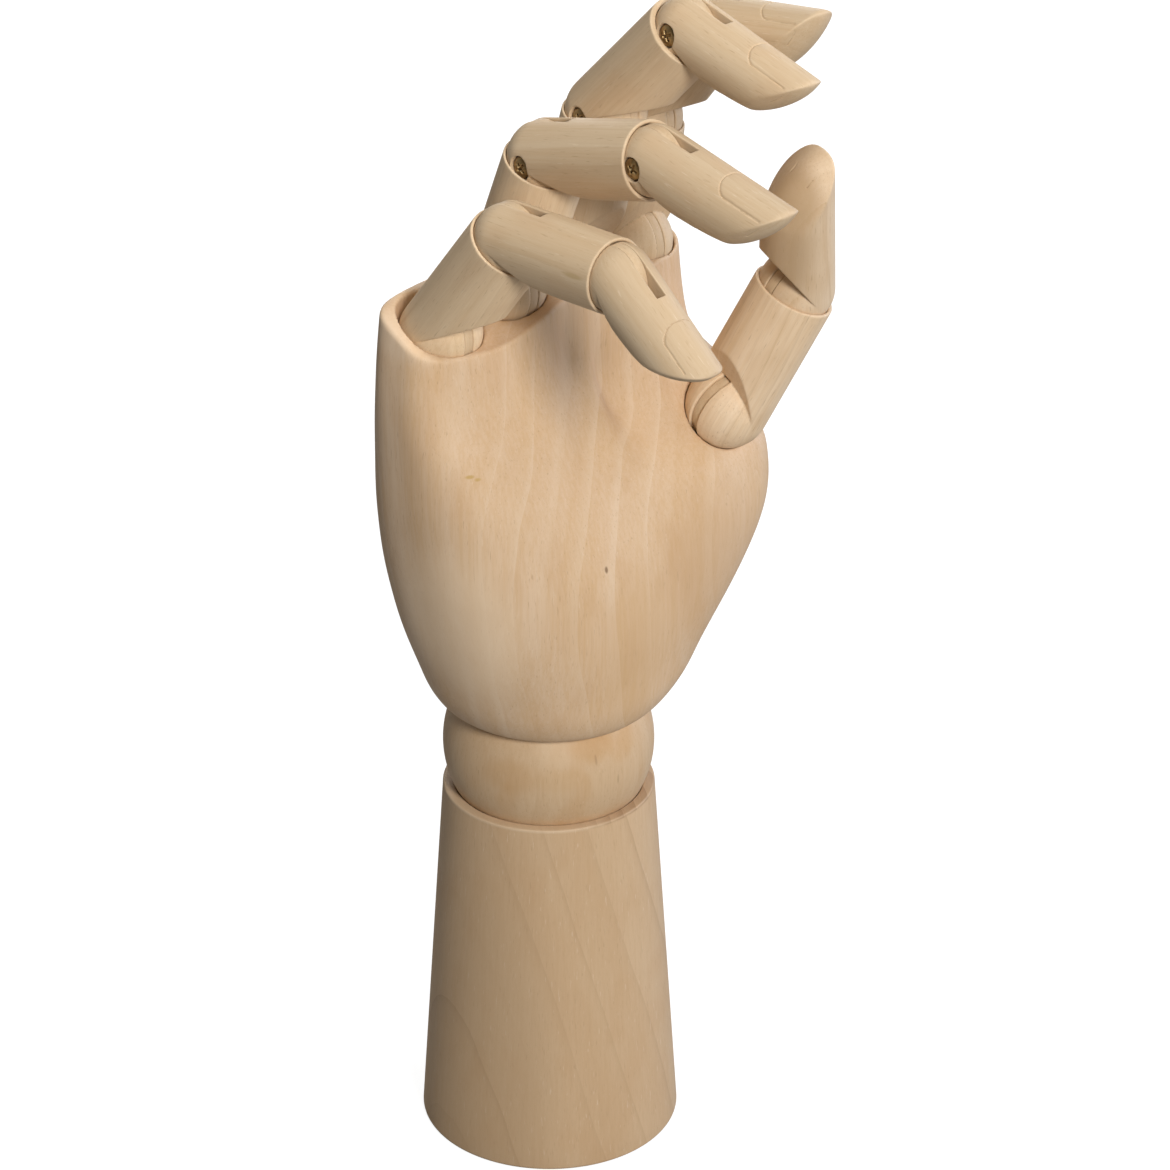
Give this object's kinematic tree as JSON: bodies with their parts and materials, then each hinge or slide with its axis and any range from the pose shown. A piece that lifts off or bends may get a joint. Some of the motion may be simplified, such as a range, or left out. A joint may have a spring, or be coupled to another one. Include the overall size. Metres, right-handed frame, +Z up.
{
  "type": "decorative wooden hand",
  "caption": "Jointed wooden display hand on a turned forearm, with a ball wrist and hinged fingers and thumb that stay as posed.",
  "frame": {"origin": "centre of the flat underside of the forearm, on the forearm's axis", "axes": "+Z up the forearm, -Y the way the palm faces, +X towards the thumb"},
  "size_m": [0.0975, 0.1133, 0.2917],
  "materials": {
    "turned_wood": "sanded pale hardwood, thin matt lacquer, turned",
    "carved_wood": "sanded pale hardwood, thin matt lacquer, carved",
    "dowel_wood": "sanded pale hardwood, thin matt lacquer, turned dowel",
    "tongue_wood": "bare pale hardwood strip",
    "bronzed_screw": "dark bronzed cross-head screw, satin",
    "spring_steel": "bright drawn wire"
  },
  "bodies": {
    "forearm": {"forearm_base": "turned_wood"},
    "spring_swivel": {"wrist_spring": "spring_steel", "anchor_rod": "spring_steel"},
    "wrist_ball": {"wrist_ball": "turned_wood"},
    "palm": {"palm": "carved_wood", "spring_eye": "spring_steel", "little_base_tongue": "tongue_wood", "ring_base_tongue": "tongue_wood", "middle_base_tongue": "tongue_wood", "index_base_tongue": "tongue_wood", "thumb_base_tongue": "tongue_wood"},
    "little_proximal": {"little_proximal": "dowel_wood", "little_base_screw": "bronzed_screw", "little_mid_tongue": "tongue_wood"},
    "little_middle": {"little_middle": "dowel_wood", "little_mid_screw": "bronzed_screw", "little_tip_tongue": "tongue_wood"},
    "little_distal": {"little_distal": "dowel_wood", "little_tip_screw": "bronzed_screw"},
    "ring_proximal": {"ring_proximal": "dowel_wood", "ring_base_screw": "bronzed_screw", "ring_mid_tongue": "tongue_wood"},
    "ring_middle": {"ring_middle": "dowel_wood", "ring_mid_screw": "bronzed_screw", "ring_tip_tongue": "tongue_wood"},
    "ring_distal": {"ring_distal": "dowel_wood", "ring_tip_screw": "bronzed_screw"},
    "middle_proximal": {"middle_proximal": "dowel_wood", "middle_base_screw": "bronzed_screw", "middle_mid_tongue": "tongue_wood"},
    "middle_middle": {"middle_middle": "dowel_wood", "middle_mid_screw": "bronzed_screw", "middle_tip_tongue": "tongue_wood"},
    "middle_distal": {"middle_distal": "dowel_wood", "middle_tip_screw": "bronzed_screw"},
    "index_proximal": {"index_proximal": "dowel_wood", "index_base_screw": "bronzed_screw", "index_mid_tongue": "tongue_wood"},
    "index_middle": {"index_middle": "dowel_wood", "index_mid_screw": "bronzed_screw", "index_tip_tongue": "tongue_wood"},
    "index_distal": {"index_distal": "dowel_wood", "index_tip_screw": "bronzed_screw"},
    "thumb_proximal": {"thumb_proximal": "dowel_wood", "thumb_base_screw": "bronzed_screw", "thumb_tip_tongue": "tongue_wood"},
    "thumb_distal": {"thumb_distal": "dowel_wood", "thumb_tip_screw": "bronzed_screw"}
  },
  "joints": [
    {"name": "wrist_turn", "type": "hinge", "parent": "forearm", "child": "spring_swivel", "pos_m": [0, 0, 0.102], "axis": [0, 0, 1], "continuous": true},
    {"name": "wrist_bend", "type": "hinge", "parent": "spring_swivel", "child": "wrist_ball", "pos_m": [0, 0, 0.102], "axis": [1, 0, 0], "range_deg": [-35, 35], "deforming": ["wrist_spring"]},
    {"name": "wrist_tilt", "type": "hinge", "parent": "wrist_ball", "child": "palm", "pos_m": [0, 0, 0.102], "axis": [0, 1, 0], "range_deg": [-25, 25], "deforming": ["wrist_spring"]},
    {"name": "little_base_flex", "type": "hinge", "parent": "palm", "child": "little_proximal", "pos_m": [-0.02998, 0.0031, 0.216], "axis": [0.9996, 0, -0.0297], "range_deg": [-37, 20]},
    {"name": "little_mid_flex", "type": "hinge", "parent": "little_proximal", "child": "little_middle", "pos_m": [-0.02911, -0.01881, 0.24506], "axis": [0.9996, 0, -0.0297], "range_deg": [-50.5, 14.5]},
    {"name": "little_tip_flex", "type": "hinge", "parent": "little_middle", "child": "little_distal", "pos_m": [-0.02907, -0.05128, 0.24647], "axis": [0.9996, 0, -0.0297], "range_deg": [-39.1, 25.9]},
    {"name": "ring_base_flex", "type": "hinge", "parent": "palm", "child": "ring_proximal", "pos_m": [-0.01002, 0.0031, 0.2213], "axis": [1, 0, -0.0087], "range_deg": [-21, 44]},
    {"name": "ring_mid_flex", "type": "hinge", "parent": "ring_proximal", "child": "ring_middle", "pos_m": [-0.00973, -0.01005, 0.25556], "axis": [1, 0, -0.0087], "range_deg": [-53, 12]},
    {"name": "ring_tip_flex", "type": "hinge", "parent": "ring_middle", "child": "ring_distal", "pos_m": [-0.00964, -0.04302, 0.26502], "axis": [1, 0, -0.0087], "range_deg": [-26.6, 38.4]},
    {"name": "middle_base_flex", "type": "hinge", "parent": "palm", "child": "middle_proximal", "pos_m": [0.01022, 0.0031, 0.2215], "axis": [0.9974, 0, -0.0715], "range_deg": [-13.4, 51.6]},
    {"name": "middle_mid_flex", "type": "hinge", "parent": "middle_proximal", "child": "middle_middle", "pos_m": [0.01289, -0.00578, 0.25866], "axis": [0.9974, 0, -0.0715], "range_deg": [-29.1, 35.9]},
    {"name": "middle_tip_flex", "type": "hinge", "parent": "middle_middle", "child": "middle_distal", "pos_m": [0.01471, -0.02908, 0.28403], "axis": [0.9974, 0, -0.0715], "range_deg": [-60.6, 4.4]},
    {"name": "index_base_flex", "type": "hinge", "parent": "palm", "child": "index_proximal", "pos_m": [0.03027, 0.0031, 0.219], "axis": [0.9973, 0, -0.0732], "range_deg": [-2.3, 22]},
    {"name": "index_mid_flex", "type": "hinge", "parent": "index_proximal", "child": "index_middle", "pos_m": [0.03251, 0.00188, 0.24939], "axis": [0.9973, 0, -0.0732], "range_deg": [-34.2, 25]},
    {"name": "index_tip_flex", "type": "hinge", "parent": "index_middle", "child": "index_distal", "pos_m": [0.03441, -0.01734, 0.27529], "axis": [0.9973, 0, -0.0732], "range_deg": [-43.2, 21.8]},
    {"name": "thumb_base_open", "type": "hinge", "parent": "palm", "child": "thumb_proximal", "pos_m": [0.0348, -0.0234, 0.1846], "axis": [0.148, 0.9341, 0.3249], "range_deg": [-40, 15]},
    {"name": "thumb_tip_open", "type": "hinge", "parent": "thumb_proximal", "child": "thumb_distal", "pos_m": [0.04394, -0.03561, 0.21554], "axis": [0.148, 0.9341, 0.3249], "range_deg": [-31.9, 33.1]}
  ]
}
